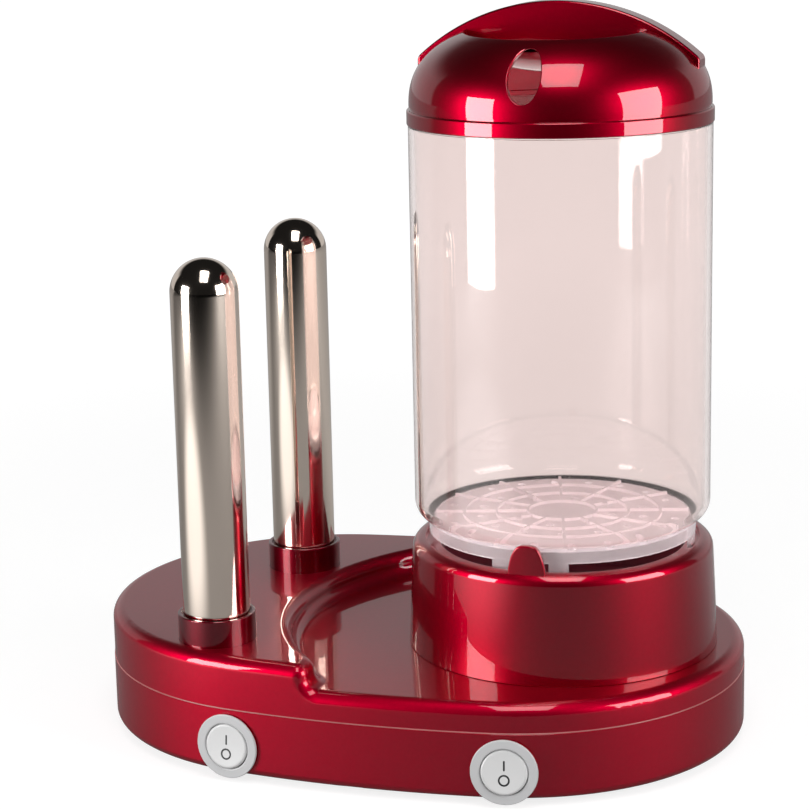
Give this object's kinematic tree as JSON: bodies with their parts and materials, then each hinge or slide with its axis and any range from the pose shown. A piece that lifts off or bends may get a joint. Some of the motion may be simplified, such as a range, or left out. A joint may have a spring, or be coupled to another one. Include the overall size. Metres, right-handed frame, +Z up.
{
  "type": "hot dog toaster",
  "caption": "Tabletop hot dog steamer with an oval base, heated bun spikes, a clear sausage vessel over a water pan, a domed lift-off lid and rocker switches.",
  "frame": {"origin": "centre of the oval base on the table", "axes": "+Z up, -Y towards the front with the switches, +X towards the sausage vessel"},
  "size_m": [0.2694, 0.1927, 0.3012],
  "materials": {
    "red_lacquer": "candy red lacquer, high gloss",
    "clear_plastic": "clear polycarbonate",
    "polished_steel": "polished stainless steel",
    "pan_steel": "satin stainless steel",
    "switch_grey": "light grey, satin",
    "black_rubber": "matte",
    "silicone": "matte",
    "black_plastic": "matte",
    "heater_sheath": "dull",
    "plated_steel": "zinc plated",
    "brass": "bright"
  },
  "bodies": {
    "base": {"base_tub": "red_lacquer", "top_cover": "red_lacquer", "rubber_feet": "black_rubber", "base_screws": "plated_steel", "cord_grommet": "black_plastic", "terminal_block": "black_plastic", "switch_body_left": "switch_grey", "switch_body_right": "switch_grey", "switch_terminals_left": "brass", "switch_terminals_right": "brass", "bun_spike_front": "polished_steel", "bun_spike_rear": "polished_steel", "spike_collar_front": "red_lacquer", "spike_collar_rear": "red_lacquer", "spike_bracket_front": "plated_steel", "spike_bracket_rear": "plated_steel", "spike_heater_front": "heater_sheath", "spike_heater_rear": "heater_sheath", "spike_screws": "plated_steel", "tank_shroud": "red_lacquer", "shroud_screws": "plated_steel", "heating_pan": "pan_steel", "pan_collar": "pan_steel", "pan_gasket": "silicone", "pan_retainer": "pan_steel", "pan_element": "heater_sheath", "element_plate": "pan_steel", "plate_nut": "plated_steel", "thermostat": "black_plastic", "thermal_fuse": "brass"},
    "rocker_left": {"rocker_left": "switch_grey"},
    "rocker_right": {"rocker_right": "switch_grey"},
    "vessel": {"vessel_tube": "clear_plastic", "vessel_base": "clear_plastic"},
    "lid": {"lid_band": "red_lacquer", "lid_dome": "red_lacquer", "lid_handle": "red_lacquer", "lid_screws": "plated_steel"}
  },
  "joints": [
    {"name": "vessel_lift", "type": "slide", "parent": "base", "child": "vessel", "axis": [0, 0, 1], "range_m": [0, 0.08]},
    {"name": "lid_lift", "type": "slide", "parent": "vessel", "child": "lid", "axis": [0, 0, 1], "range_m": [0, 0.12]},
    {"name": "rocker_left_tilt", "type": "hinge", "parent": "base", "child": "rocker_left", "pos_m": [-0.05383, -0.0917, 0.0148], "axis": [-0.9913, 0.1315, 0], "range_deg": [0, 12]},
    {"name": "rocker_right_tilt", "type": "hinge", "parent": "base", "child": "rocker_right", "pos_m": [0.05923, -0.09095, 0.0148], "axis": [-0.9895, -0.1446, 0], "range_deg": [0, 12]}
  ]
}
